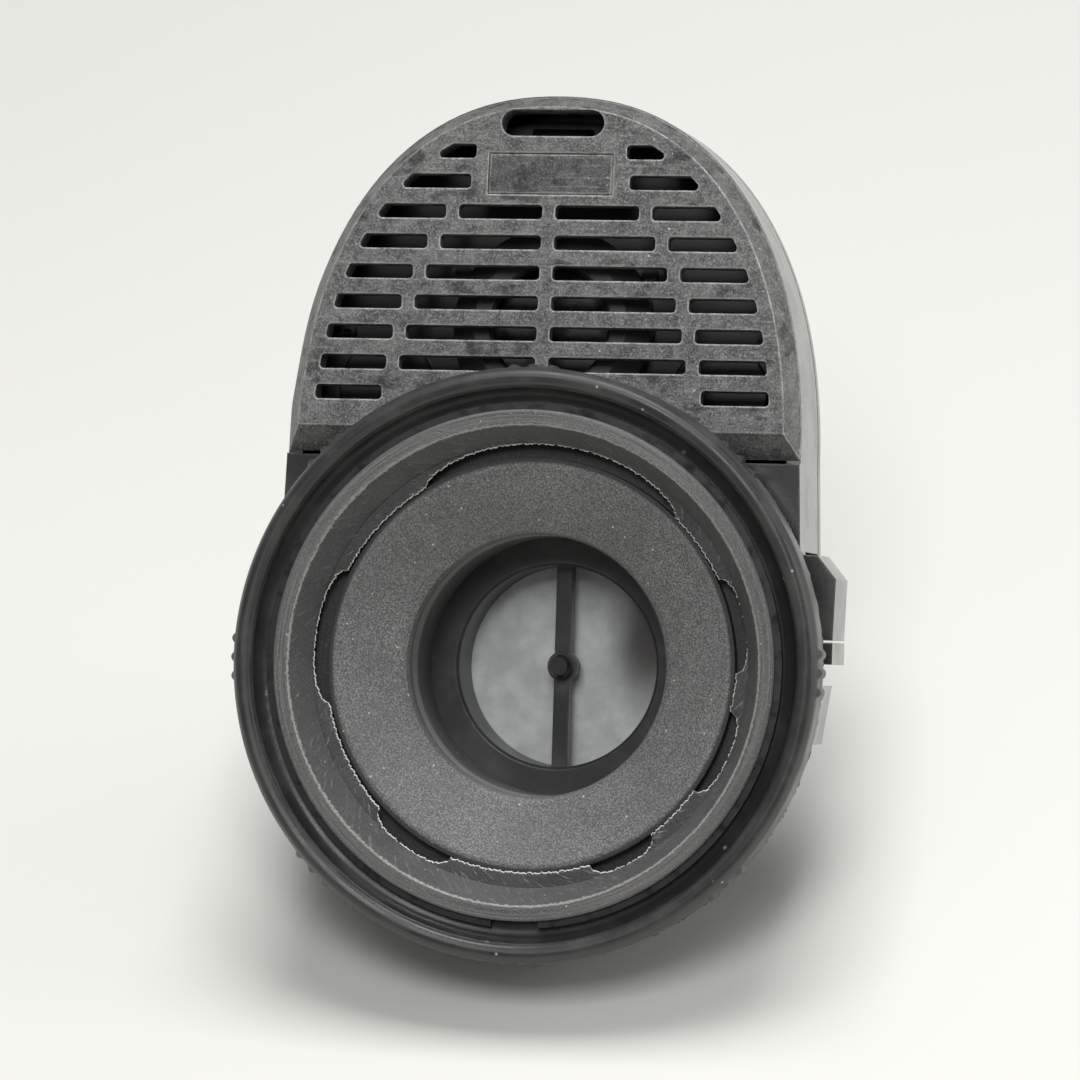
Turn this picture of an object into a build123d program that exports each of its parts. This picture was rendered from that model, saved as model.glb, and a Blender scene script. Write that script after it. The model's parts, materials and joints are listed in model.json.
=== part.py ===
"""Front unit of a full face respirator: housing, slotted cover, inlet port, valves and mask neck.

The unit stands on the lower back edge of its rear cover and on the end of its nose spigot, leaning
back. The row frame has Z up from the table, X to the viewer's right and the inlet towards -Y.
Most pieces are drawn from the port: u is right, v is up the face and d is depth behind the rim.
"""
import math
import os

from build123d import *

os.makedirs("parts", exist_ok=True)

# Stance and common clearances
LEAN = 38.0              # rise of the port axis above the table, degrees
COVER_LEAN = 5.0         # extra backward lean of the slotted cover, degrees
FIT = 0.06               # clearance of a locating or running fit
SEAT = 0.05              # gap between faces that rest on each other
CLEAR = 0.4              # room round a piece that passes through a wall
WALL = 2.4               # moulded wall

# Rim that the round pieces follow
RIM_R = 50.0             # outside radius of the lock ring

# Housing outline
LOWER_R = RIM_R - 4.5    # round lower half
ARCH_A = LOWER_R - 1.2   # half width of the arched top
ARCH_B = 62.2            # height of the arched top
ARCH_N = 2.25            # squareness of the arch
ARCH_V = RIM_R - 15.0    # level of the seam below the slotted cover
BASE_V = LOWER_R - 4.5   # flat foot below the port axis
BODY_FRONT = 12.0        # depth of the lower front wall
BODY_BACK = 31.4         # depth of the housing's back edge
GASKET = 0.6             # thickness of the flat gaskets

# Lock ring, collar and funnel
RIM_BAND = 3.4           # width of the convex rim
RING_BACK = 8.6          # depth of the ring's back face
GRIP_R = RIM_R - 3.0     # radius where the rubber sleeve meets the ring
RIB_H = 0.6              # height of the grip ribs
RIB_W = 1.2              # width of a grip rib
RIB_PITCH = 3.2          # spacing of the ribs in a group
RIB_GROUPS = 8
COLLAR_R = RIM_R - 7.2   # running radius of the collar
COLLAR_FACE = 0.6        # depth of the turned front face
COLLAR_IN = COLLAR_R - 2.5   # inner radius of the turned face
LIP_R = COLLAR_R - 5.4   # inner radius under the cone
LIP_TOP = 7.0            # depth where the cone ends
LIP_T = 1.0              # thickness of the sealing lip
LIP_SHOW = 2.0           # lip seen inside the cone
FLANGE_R = COLLAR_R + 2.8    # collar flange
FLANGE_T = 2.8
WASHER_T = 0.4
CLIP_T = 1.0
CLIP_D = 1.5             # depth of the snap ring groove
CLIP_BITE = 1.0          # depth of the groove in the collar
FUNNEL_FLANGE_R = COLLAR_R - 3.6
DISH_R = COLLAR_R - 7.8
DISH_D = 8.1
GROOVE_W = 2.7           # groove under the sealing lip
GROOVE_DEEP = 2.2
DISH_SHELF = 1.4         # flat edge of the dish beside the groove
THROAT_R = RIM_R - 27.8
THROAT_D = 14.0          # depth where the throat becomes a plain bore
DISH_RISE = 1.2          # dish edge above the bore
TUBE_WALL = 2.6
PLUG_STEP = 0.6          # counterbore that the valve seat goes into
SEAT_D = 30.6            # depth of the valve seat's flat front
TUBE_END = SEAT_D + 9.4
HOLE_R = THROAT_R + 7.8  # hole in the front wall for the funnel

# Valve seat and inhalation valve
SEAT_R = THROAT_R - 4.8  # bore of the valve seat
BAR_W = 2.7
BAR_D = SEAT_D + 4.4
BAR_T = 3.0
HUB_R = 2.6
STEM_R = 1.2
DISC_R = SEAT_R + 1.8
DISC_T = 1.0
DISC_TRAVEL = 1.6
SEAT_RIM = 1.0           # rear rim of the seat, pinched by the spigot

# Nose spigot and neck
CUP_WALL = 2.0
CUP_FRONT = 33.0
CUP_DEEP = TUBE_END + 6.0
CUP_END = 2.4
SPIGOT_W = 2 * THROAT_R + 5.6
SPIGOT_H = 26.0
SPIGOT_ROUND = 11.5
SPIGOT_WALL = 2.2
BEAD = 1.5
BEAD_L = 2.5
ORING_R = 0.55
NECK_R = THROAT_R + 9.8  # outside of the neck, clamped in the facepiece
NECK_IN = NECK_R - 2.6
NECK_L = 9.0
NECK_GROOVE = 0.6        # undercut at the root of the neck
NECK_ROOT = 1.2
NECK_EDGE = 0.5

# Upper chamber
DISC_EDGE = LOWER_R + 0.5    # front wall that carries the collar, above the seam
DECK_W = 7.0             # depth of the deck behind the cover's back plane
DECK_T = 2.0
SPEECH_Y = 23.1          # speech unit above the seam
SPEECH_R = 17.2
SPEECH_MOUTH = 10.0
EAR_R = 2.7
FOIL_T = 0.25
EXHALE_X = ARCH_A - 15.3
EXHALE_Y = 12.6
EXHALE_R = 8.4
EXHALE_BORE = 6.6
EXHALE_T = 0.8
EXHALE_TRAVEL = 1.2
SMALL_STEM = 0.9

# Slotted cover
COVER_T = 4.4            # height of the cover above its back plane
PLATE_T = 2.6            # thickness of its slotted front
BEVEL = 2.4              # side bevel
FOOT_BEVEL = 4.0         # bevel of the lower edge
SEAM = 0.6               # open seam below the cover
SLOT_PITCH = 5.22
SLOT_H = 2.5
SLOT_CORNER = 0.7
SLOT_FIRST = 10.3
SLOT_ROWS = 9
SLOT_INSET = 4.8         # slot ends inside the outline
SLOT_OUTER = 11.6        # length of the outer slots
SLOT_BAR = 2.2           # bars between slots
BADGE_W = 21.6
BADGE_H = 7.2
BADGE_Y = 48.2
BADGE_T = 0.6
PILL_W = 17.8
PILL_H = 4.6
PILL_Y = 57.0

# Release buttons and lugs
LUG_R = LOWER_R + 2.4
LUG_LOW = (-12.0, -2.0)
LUG_MID = (1.6, 5.3)
BUTTON_V = (5.7, 20.0)
BUTTON_OUT = LOWER_R + 4.3
BUTTON_FRONT = 18.0
BUTTON_BACK = 31.0
BUTTON_BEVEL = 3.0
BUTTON_TRAVEL = 2.0
RETAIN = 1.6             # retaining flange beyond the window
RETAIN_T = 2.0
ARM_V = (9.6, 15.4)
ARM_T = 2.4
ARM_END = 42.5
BARB = 1.8
POST_U = LOWER_R - 14.5  # inner face of the spring post
POST_T = 2.0
LEAF_T = 0.5

# Screws
SCREW_R = 1.2
HEAD_R = 2.4
COLLAR_HEAD_R = 2.0      # smaller heads beside the side wall
HEAD_T = 1.5
BOSS_R = 3.3

# Levels that follow from the above
BACK = BODY_BACK + GASKET + WALL
TUBE_R = THROAT_R + TUBE_WALL
PLUG_R = THROAT_R + PLUG_STEP
SPIGOT_HALF = SPIGOT_H / 2 + BEAD
RISE = math.sin(math.radians(LEAN))
RUN = math.cos(math.radians(LEAN))
PORT_Z = BASE_V * RUN + BACK * RISE
SPIGOT_END = (PORT_Z - SPIGOT_HALF * RUN) / RISE
COVER_SEAT = BODY_FRONT + 1.2
TOP_V = ARCH_V + ARCH_B
PORT_Y = (RIM_R * RISE - TOP_V * RISE - BACK * RUN) / 2

PORT = Plane(origin=(0, PORT_Y, PORT_Z), x_dir=(1, 0, 0), z_dir=(0, -RUN, RISE))
AXIAL = Plane(origin=PORT.origin, x_dir=PORT.x_dir, z_dir=PORT.y_dir)
PORT_AXIS = Axis(PORT.origin, PORT.z_dir)
COVER_RISE = math.radians(LEAN + COVER_LEAN)
COVER = Plane(
    origin=PORT.from_local_coords((0, ARCH_V, -COVER_SEAT)),
    x_dir=(1, 0, 0),
    z_dir=(0, -math.cos(COVER_RISE), math.sin(COVER_RISE)),
)
DECK_BACK = DECK_W + DECK_T
ARCH_TURNS = (0, 8, 18, 30, 42, 54, 66, 78, 90, 102, 114, 126, 138, 150, 162, 172, 180)


def deep(d):
    """Plane across the port axis at depth d, facing forwards."""
    return PORT.offset(-d)


def behind(w):
    """Plane parallel to the cover at depth w behind its back plane, facing forwards."""
    return COVER.offset(-w)


def turning(base, x, y):
    """Plane through an axis of base at (x, y): radius across, depth along its second axis."""
    return Plane(origin=base.from_local_coords((x, y, 0)), x_dir=base.x_dir, z_dir=base.y_dir)


def turning_axis(base, x, y):
    """Axis of base at (x, y)."""
    return Axis(base.from_local_coords((x, y, 0)), base.z_dir)


def radial(angle, r, d):
    """Plane across a radius of the port at depth d, facing outwards."""
    a = math.radians(angle)
    out = PORT.x_dir * math.cos(a) + PORT.y_dir * math.sin(a)
    foot = PORT.from_local_coords((r * math.cos(a), r * math.sin(a), -d))
    return Plane(origin=foot, x_dir=PORT.z_dir, z_dir=out)


def arch_point(turn, inset=0.0):
    """Point above the seam on the arched top, a superellipse drawn in by inset."""
    c = math.cos(math.radians(turn))
    s = abs(math.sin(math.radians(turn)))
    across = math.copysign(abs(c) ** (2 / ARCH_N), c)
    return (across * (ARCH_A - inset), s ** (2 / ARCH_N) * (ARCH_B - inset))


def arch_half(y, inset):
    """Half width of the arch at height y above the seam."""
    share = min(1.0, y / (ARCH_B - inset))
    return (ARCH_A - inset) * (1 - share ** ARCH_N) ** (1 / ARCH_N)


def deck_depth(v):
    """Depth of the deck's back face at height v."""
    lean = math.radians(COVER_LEAN)
    return COVER_SEAT + (v - ARCH_V) * math.tan(lean) + DECK_BACK / math.cos(lean)


def body_outline(inset=0.0):
    """Tombstone outline of the housing with its flat foot, drawn in by inset."""
    reach = LOWER_R - inset
    turn = math.degrees(math.asin((BASE_V - inset) / reach))
    with BuildSketch() as shape:
        with BuildLine():
            points = [arch_point(t, inset) for t in ARCH_TURNS]
            arch = Spline(*[(x, y + ARCH_V) for x, y in points], tangents=((0, 1), (0, -1)))
            right = CenterArc((0, 0), reach, 0, -turn)
            left = CenterArc((0, 0), reach, 180, turn)
            Line(right @ 0, arch @ 0)
            Line(arch @ 1, left @ 0)
            Line(right @ 1, left @ 1)
        make_face()
    return shape.sketch


def arch_outline(inset=0.0, skirt=1.0):
    """Arched outline above the seam, with straight sides running down by skirt."""
    with BuildSketch() as shape:
        with BuildLine():
            points = [arch_point(t, inset) for t in ARCH_TURNS]
            arch = Spline(*points, tangents=((0, 1), (0, -1)))
            foot = (ARCH_A - inset, -skirt)
            Polyline(arch @ 1, (-foot[0], foot[1]), foot, arch @ 0)
        make_face()
    return shape.sketch


def finish(piece, name):
    """Label a finished piece and write it to its file."""
    piece.label = name
    export_step(piece, f"parts/{name}.step")


# Places of the screws, in port coordinates
LOWER_BOSS = (LOWER_R - WALL - BOSS_R + 0.6) * math.sqrt(0.5)
DECK_SPOTS = [arch_point(t, WALL + BOSS_R - 1.0) for t in (20, 65, 115, 160)]
REAR_SPOTS = [(x, y + ARCH_V) for x, y in [arch_point(t, WALL + BOSS_R - 1.0) for t in (8, 45, 135, 172)]]
LOWER_SPOTS = [(LOWER_BOSS, -LOWER_BOSS), (-LOWER_BOSS, -LOWER_BOSS)]
COLLAR_SCREW_R = (FUNNEL_FLANGE_R + COLLAR_R) / 2 + 0.1
COLLAR_TURNS = (45, 135, 205, 240, 300, 335)
COLLAR_SPOTS = [
    (COLLAR_SCREW_R * math.cos(math.radians(t)), COLLAR_SCREW_R * math.sin(math.radians(t)))
    for t in COLLAR_TURNS
]
SCREW_BITE = 3.2
SIDE_U = LOWER_R - (LOWER_R - ARCH_A) * BUTTON_V[1] / ARCH_V - WALL
RETAIN_OUT = SIDE_U - CLEAR
RETAIN_IN = RETAIN_OUT - RETAIN_T
ARM_OUT = RETAIN_IN - 0.8
ARM_IN = ARM_OUT - ARM_T

# Main housing: front wall, side walls, partition below the upper chamber, bosses, posts and lugs
with BuildPart() as main_housing:
    with BuildSketch(deep(BODY_FRONT)):
        add(body_outline())
    extrude(amount=BODY_FRONT - BODY_BACK)
    # lower cavity, open at the back
    with BuildSketch(deep(BODY_FRONT + WALL)):
        add(body_outline(WALL))
        with Locations((0, ARCH_V - WALL)):
            Rectangle(3 * RIM_R, 3 * RIM_R, align=(Align.CENTER, Align.MIN), mode=Mode.SUBTRACT)
    extrude(amount=BODY_FRONT + WALL - BODY_BACK, mode=Mode.SUBTRACT)
    # upper chamber, behind the wall that carries the collar
    with BuildSketch(deep(BODY_FRONT + WALL)):
        add(body_outline(WALL))
        with Locations((0, ARCH_V)):
            Rectangle(3 * RIM_R, 3 * RIM_R, align=(Align.CENTER, Align.MAX), mode=Mode.SUBTRACT)
    extrude(amount=BODY_FRONT + WALL - BODY_BACK, mode=Mode.SUBTRACT)
    # mouth of the upper chamber
    with BuildSketch(deep(BODY_FRONT)):
        add(body_outline(WALL))
        with Locations((0, ARCH_V)):
            Rectangle(3 * RIM_R, 3 * RIM_R, align=(Align.CENTER, Align.MAX), mode=Mode.SUBTRACT)
        Circle(DISC_EDGE, mode=Mode.SUBTRACT)
    extrude(amount=-WALL, mode=Mode.SUBTRACT)
    # way for breath behind the deck
    with BuildSketch(deep(deck_depth(ARCH_V) + 0.8)):
        add(body_outline(WALL))
    extrude(amount=deck_depth(ARCH_V) + 0.8 - BODY_BACK, mode=Mode.SUBTRACT)
    # rim that the slotted cover rests on
    with BuildSketch(COVER):
        Rectangle(3 * RIM_R, 3 * RIM_R, align=(Align.CENTER, Align.MIN))
        with Locations((0, -ARCH_V)):
            Circle(DISC_EDGE + WALL, mode=Mode.SUBTRACT)
    extrude(amount=RIM_R, mode=Mode.SUBTRACT)
    # opening for the funnel and holes for the collar screws
    with BuildSketch(deep(BODY_FRONT)):
        Circle(HOLE_R)
        with Locations(*COLLAR_SPOTS):
            Circle(SCREW_R + CLEAR / 2)
    extrude(amount=-WALL, mode=Mode.SUBTRACT)
    # bosses for the deck screws
    with BuildSketch(behind(DECK_BACK + SEAT)):
        with Locations(*DECK_SPOTS):
            Circle(BOSS_R)
    extrude(amount=-SCREW_BITE - 0.8)
    with BuildSketch(behind(DECK_BACK)):
        with Locations(*DECK_SPOTS):
            Circle(SCREW_R + FIT)
    extrude(amount=-SCREW_BITE, mode=Mode.SUBTRACT)
    # bosses for the rear cover screws
    for x, v in REAR_SPOTS:
        with BuildSketch(deep(BODY_BACK)):
            with Locations((x, v)):
                Circle(BOSS_R)
        extrude(amount=BODY_BACK - deck_depth(v) - 0.5)
    with BuildSketch(deep(BODY_BACK)):
        with Locations(*LOWER_SPOTS):
            Circle(BOSS_R)
    extrude(amount=BODY_BACK - BODY_FRONT - WALL / 2)
    with BuildSketch(deep(BODY_BACK)):
        with Locations(*REAR_SPOTS, *LOWER_SPOTS):
            Circle(SCREW_R + FIT)
    extrude(amount=SCREW_BITE, mode=Mode.SUBTRACT)
    # side lugs, windows for the release buttons and posts for their springs
    for side in (1, -1):
        with BuildSketch(deep(BUTTON_FRONT)):
            low, high = LUG_LOW
            inner = LOWER_R - WALL / 2
            with BuildLine():
                Polyline(
                    (side * inner, low), (side * inner, high),
                    (side * math.sqrt(LUG_R ** 2 - high ** 2), high),
                    (side * math.sqrt(LUG_R ** 2 - low ** 2), low), close=True,
                )
            make_face()
            with Locations((side * (inner + BUTTON_OUT) / 2, sum(LUG_MID) / 2)):
                Rectangle(BUTTON_OUT - inner, LUG_MID[1] - LUG_MID[0])
        extrude(amount=BUTTON_FRONT - BODY_BACK)
        with BuildSketch(deep(BUTTON_FRONT - CLEAR)):
            with Locations((side * LOWER_R, sum(BUTTON_V) / 2)):
                Rectangle(4 * WALL, BUTTON_V[1] - BUTTON_V[0] + 2 * CLEAR)
        extrude(amount=BUTTON_FRONT - CLEAR - BODY_BACK, mode=Mode.SUBTRACT)
        with BuildSketch(deep(BODY_FRONT + WALL / 2)):
            with Locations((side * (POST_U + POST_T / 2), sum(ARM_V) / 2)):
                Rectangle(POST_T, ARM_V[1] - ARM_V[0])
        extrude(amount=-(BUTTON_FRONT + 5.0 - BODY_FRONT - WALL / 2))
finish(main_housing.part, "main_housing")

# Flat gasket on the housing's back edge
with BuildPart() as housing_gasket:
    with BuildSketch(deep(BODY_BACK + SEAT)):
        add(body_outline(0.3))
        add(body_outline(WALL - 0.3), mode=Mode.SUBTRACT)
    extrude(amount=2 * SEAT - GASKET)
finish(housing_gasket.part, "housing_gasket")

# Rear cover with the neck for the facepiece, its clamp groove and slots for the hooks
with BuildPart() as rear_cover:
    with BuildSketch(deep(BACK)):
        add(body_outline())
    extrude(amount=WALL)
    with BuildSketch(deep(BACK)):
        Circle(NECK_R)
    extrude(amount=-NECK_L)
    chamfer(faces().sort_by(PORT_AXIS)[0].edges(), NECK_EDGE)
    with BuildSketch(deep(BACK)):
        Circle(NECK_R + WALL)
        Circle(NECK_R - NECK_GROOVE, mode=Mode.SUBTRACT)
    extrude(amount=-NECK_ROOT, mode=Mode.SUBTRACT)
    with BuildSketch(deep(BACK - WALL)):
        Circle(NECK_IN)
        with Locations(*REAR_SPOTS, *LOWER_SPOTS):
            Circle(SCREW_R + CLEAR / 2)
        for side in (1, -1):
            left = ARM_IN - BUTTON_TRAVEL - CLEAR
            right = ARM_OUT + BARB + CLEAR
            with Locations((side * (left + right) / 2, sum(ARM_V) / 2)):
                Rectangle(right - left, ARM_V[1] - ARM_V[0] + 2 * CLEAR)
    extrude(amount=-WALL - NECK_L, mode=Mode.SUBTRACT)
finish(rear_cover.part, "rear_cover")

# Six pan-head screws of the rear cover
with BuildPart() as rear_cover_screws:
    with BuildSketch(deep(BACK + SEAT)):
        with Locations(*REAR_SPOTS, *LOWER_SPOTS):
            Circle(HEAD_R)
    extrude(amount=-HEAD_T)
    with BuildSketch(deep(BACK + SEAT)):
        with Locations(*REAR_SPOTS, *LOWER_SPOTS):
            Circle(SCREW_R)
    extrude(amount=WALL + GASKET + SCREW_BITE - 0.2)
    with BuildSketch(deep(BACK + SEAT + HEAD_T)):
        with Locations(*REAR_SPOTS, *LOWER_SPOTS):
            Rectangle(HEAD_R * 1.3, 0.6)
            Rectangle(0.6, HEAD_R * 1.3)
    extrude(amount=HEAD_T * 0.6, mode=Mode.SUBTRACT)
finish(rear_cover_screws.part, "rear_cover_screws")

# Deck across the upper chamber, with the exhalation valve seats
with BuildPart() as chamber_deck:
    with BuildSketch(behind(DECK_W)):
        add(arch_outline(WALL + CLEAR))
        with Locations((0, DECK_BACK * math.tan(math.radians(COVER_LEAN)) + CLEAR)):
            Rectangle(3 * RIM_R, RIM_R, align=(Align.CENTER, Align.MAX), mode=Mode.SUBTRACT)
    extrude(amount=-DECK_T)
    with BuildSketch(behind(DECK_W)):
        with Locations((EXHALE_X, EXHALE_Y), (-EXHALE_X, EXHALE_Y)):
            Circle(EXHALE_R - 0.2)
    extrude(amount=1.0)
    with BuildSketch(behind(DECK_W - 1.0)):
        with Locations((EXHALE_X, EXHALE_Y), (-EXHALE_X, EXHALE_Y)):
            Circle(EXHALE_BORE)
    extrude(amount=-DECK_T - 1.0, mode=Mode.SUBTRACT)
    with BuildSketch(behind(DECK_W)):
        with Locations((EXHALE_X, EXHALE_Y), (-EXHALE_X, EXHALE_Y)):
            Circle(2.2 * SMALL_STEM)
            with PolarLocations(0, 3):
                Rectangle(EXHALE_BORE + 0.4, 1.4, align=(Align.MIN, Align.CENTER))
            Circle(SMALL_STEM + FIT, mode=Mode.SUBTRACT)
    extrude(amount=-DECK_T)
    with BuildSketch(behind(DECK_W)):
        with Locations((0, SPEECH_Y)):
            Circle(SPEECH_R - 5.2)
            with PolarLocations(SPEECH_R + 0.5 * EAR_R, 3, start_angle=30):
                Circle(SMALL_STEM + FIT)
        with Locations(*DECK_SPOTS):
            Circle(SCREW_R + CLEAR / 2)
    extrude(amount=-DECK_T, mode=Mode.SUBTRACT)
finish(chamber_deck.part, "chamber_deck")

# Four screws of the deck
with BuildPart() as deck_screws:
    with BuildSketch(behind(DECK_W - SEAT)):
        with Locations(*DECK_SPOTS):
            Circle(HEAD_R)
    extrude(amount=HEAD_T)
    with BuildSketch(behind(DECK_W - SEAT)):
        with Locations(*DECK_SPOTS):
            Circle(SCREW_R)
    extrude(amount=-DECK_T - SCREW_BITE + 0.2)
    with BuildSketch(behind(DECK_W - SEAT - HEAD_T)):
        with Locations(*DECK_SPOTS):
            Rectangle(HEAD_R * 1.3, 0.6)
            Rectangle(0.6, HEAD_R * 1.3)
    extrude(amount=-HEAD_T * 0.6, mode=Mode.SUBTRACT)
finish(deck_screws.part, "deck_screws")

# Speech unit: gasket, diaphragm foil, clamp ring with three ears, and their screws
SPEECH = turning(COVER, 0, SPEECH_Y)
SPEECH_AXIS = turning_axis(COVER, 0, SPEECH_Y)
SKIRT_IN = SPEECH_R - 1.5
FOIL_W = DECK_W - 1.6
with BuildPart() as speech_gasket:
    with BuildSketch(behind(FOIL_W + FOIL_T + SEAT)):
        with Locations((0, SPEECH_Y)):
            Circle(SKIRT_IN - 0.3)
            Circle(SKIRT_IN - 3.2, mode=Mode.SUBTRACT)
    extrude(amount=FOIL_W + FOIL_T + 2 * SEAT - DECK_W)
finish(speech_gasket.part, "speech_gasket")

with BuildPart() as speech_diaphragm:
    with BuildSketch(behind(FOIL_W)):
        with Locations((0, SPEECH_Y)):
            Circle(SKIRT_IN - 0.3)
    extrude(amount=-FOIL_T)
finish(speech_diaphragm.part, "speech_diaphragm")

with BuildPart() as speech_clamp:
    with BuildSketch(SPEECH):
        with BuildLine():
            Polyline(
                (SPEECH_MOUTH, 1.4), (SPEECH_MOUTH + 0.6, 0.8), (SPEECH_R - 4.0, 0.8),
                (SPEECH_R, 2.8), (SPEECH_R, DECK_W - SEAT), (SKIRT_IN, DECK_W - SEAT),
                (SKIRT_IN, FOIL_W - SEAT), (SKIRT_IN - 3.2, FOIL_W - SEAT),
                (SKIRT_IN - 3.2, 3.0), (SPEECH_MOUTH, 2.4), close=True,
            )
        make_face()
    revolve(axis=SPEECH_AXIS)
    with BuildSketch(behind(DECK_W - SEAT)):
        with Locations((0, SPEECH_Y)):
            with PolarLocations(SPEECH_R + 0.5 * EAR_R, 3, start_angle=30):
                Circle(EAR_R)
            Circle(SPEECH_R - 0.4, mode=Mode.SUBTRACT)
    extrude(amount=1.8)
    with BuildSketch(behind(DECK_W - SEAT)):
        with Locations((0, SPEECH_Y)):
            with PolarLocations(SPEECH_R + 0.5 * EAR_R, 3, start_angle=30):
                Circle(SMALL_STEM + CLEAR / 2)
    extrude(amount=1.8, mode=Mode.SUBTRACT)
finish(speech_clamp.part, "speech_clamp")

with BuildPart() as speech_screws:
    with BuildSketch(behind(DECK_W - 1.8 - 2 * SEAT)):
        with Locations((0, SPEECH_Y)):
            with PolarLocations(SPEECH_R + 0.5 * EAR_R + 0.3, 3, start_angle=30):
                Circle(1.5 * SMALL_STEM)
    extrude(amount=1.0)
    with BuildSketch(behind(DECK_W - 1.8 - 2 * SEAT)):
        with Locations((0, SPEECH_Y)):
            with PolarLocations(SPEECH_R + 0.5 * EAR_R, 3, start_angle=30):
                Circle(SMALL_STEM)
    extrude(amount=-DECK_T - 1.6)
finish(speech_screws.part, "speech_screws")

# Bent strip behind the finger slot that holds the cover in place
DETENT_HALF = 5.0
with BuildPart() as cover_detent:
    with BuildSketch(Plane(origin=COVER.origin, x_dir=COVER.y_dir, z_dir=COVER.x_dir)):
        with BuildLine():
            low = -(DECK_W - SEAT)
            span = (PILL_Y - 1.5 * DETENT_HALF, PILL_Y + 0.1 * DETENT_HALF)
            mid = sum(span) / 2
            outer = ThreePointArc((span[0], low), (mid, -1.4), (span[1], low))
            inner = ThreePointArc(
                (span[0] + LEAF_T, low), (mid, -1.4 - LEAF_T), (span[1] - LEAF_T, low)
            )
            Line(outer @ 0, inner @ 0)
            Line(outer @ 1, inner @ 1)
        make_face()
    extrude(amount=DETENT_HALF, both=True)
finish(cover_detent.part, "cover_detent")

# Exhalation valve discs, each with a stem through its hub and a bead behind it
for side, name in ((1, "right"), (-1, "left")):
    with BuildPart() as exhale_valve:
        with BuildSketch(turning(COVER, side * EXHALE_X, EXHALE_Y)):
            front = DECK_W - 1.0 - SEAT - EXHALE_T
            bead = DECK_BACK + EXHALE_TRAVEL + CLEAR
            with BuildLine():
                Polyline(
                    (0, front), (EXHALE_R - 0.4, front), (EXHALE_R, front + EXHALE_T / 2),
                    (EXHALE_R - 0.2, front + EXHALE_T), (SMALL_STEM, front + EXHALE_T),
                    (SMALL_STEM, bead), (1.7 * SMALL_STEM, bead), (SMALL_STEM, bead + 1.2),
                    (0, bead + 1.2), close=True,
                )
            make_face()
        revolve(axis=turning_axis(COVER, side * EXHALE_X, EXHALE_Y))
    finish(exhale_valve.part, f"exhale_valve_{name}")

# Slotted cover: bevelled plate with rows of slots, finger slot and badge recess
with BuildPart() as slotted_cover:
    with BuildSketch(COVER.offset(SEAT)):
        add(arch_outline(0.0, 2 * FOOT_BEVEL))
    with BuildSketch(COVER.offset(COVER_T)):
        add(arch_outline(BEVEL, 2 * FOOT_BEVEL))
    loft()
    with BuildSketch(Plane(origin=COVER.origin, x_dir=COVER.y_dir, z_dir=COVER.x_dir)):
        with BuildLine():
            Polyline(
                (SEAM, -1), (SEAM, SEAT), (SEAM + FOOT_BEVEL, COVER_T), (SEAM + FOOT_BEVEL, 2 * COVER_T),
                (-3 * FOOT_BEVEL, 2 * COVER_T), (-3 * FOOT_BEVEL, -1), close=True,
            )
        make_face()
    extrude(amount=2 * RIM_R, both=True, mode=Mode.SUBTRACT)
    # notch round the collar flange
    with BuildSketch(deep(0)):
        Circle(DISC_EDGE + CLEAR)
    extrude(amount=-2 * BODY_FRONT, mode=Mode.SUBTRACT)
    # hollow back
    with BuildSketch(COVER):
        add(arch_outline(2 * WALL))
        with Locations((0, SEAM + FOOT_BEVEL - 0.6)):
            Rectangle(3 * RIM_R, RIM_R, align=(Align.CENTER, Align.MAX), mode=Mode.SUBTRACT)
        with Locations((0, -ARCH_V)):
            Circle(DISC_EDGE + WALL, mode=Mode.SUBTRACT)
    extrude(amount=COVER_T - PLATE_T, mode=Mode.SUBTRACT)
    # slots in rows, cut off along the arch
    with BuildSketch(COVER) as slots:
        for row in range(SLOT_ROWS):
            y = SLOT_FIRST + row * SLOT_PITCH
            reach = arch_half(y, SLOT_INSET)
            start = max(reach - SLOT_OUTER, BADGE_W / 2 + SLOT_BAR)
            with Locations((start, y)):
                Rectangle(RIM_R, SLOT_H, align=(Align.MIN, Align.CENTER))
            with Locations((-start, y)):
                Rectangle(RIM_R, SLOT_H, align=(Align.MAX, Align.CENTER))
            if y - SLOT_H > DISC_EDGE - ARCH_V and y + SLOT_PITCH / 2 < BADGE_Y - BADGE_H / 2:
                inner = start - SLOT_BAR - SLOT_BAR / 2
                for side in (1, -1):
                    with Locations((side * (SLOT_BAR / 2 + inner / 2), y)):
                        Rectangle(inner, SLOT_H)
        add(arch_outline(SLOT_INSET), mode=Mode.INTERSECT)
        fillet(slots.vertices(), SLOT_CORNER)
        with Locations((0, PILL_Y)):
            SlotOverall(PILL_W, PILL_H)
    extrude(amount=2 * COVER_T, mode=Mode.SUBTRACT)
    # recess for the badge
    with BuildSketch(COVER.offset(COVER_T)):
        with Locations((0, BADGE_Y)):
            Rectangle(BADGE_W, BADGE_H)
    extrude(amount=-BADGE_T - 2 * SEAT, mode=Mode.SUBTRACT)
finish(slotted_cover.part, "slotted_cover")

with BuildPart() as blank_badge:
    with BuildSketch(COVER.offset(COVER_T - 2 * SEAT)):
        with Locations((0, BADGE_Y)):
            Rectangle(BADGE_W - 2 * FIT, BADGE_H - 2 * FIT)
    extrude(amount=SEAT - BADGE_T)
    chamfer(blank_badge.faces().sort_by(Axis(COVER.origin, COVER.z_dir))[-1].edges(), 0.25)
finish(blank_badge.part, "blank_badge")

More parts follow.
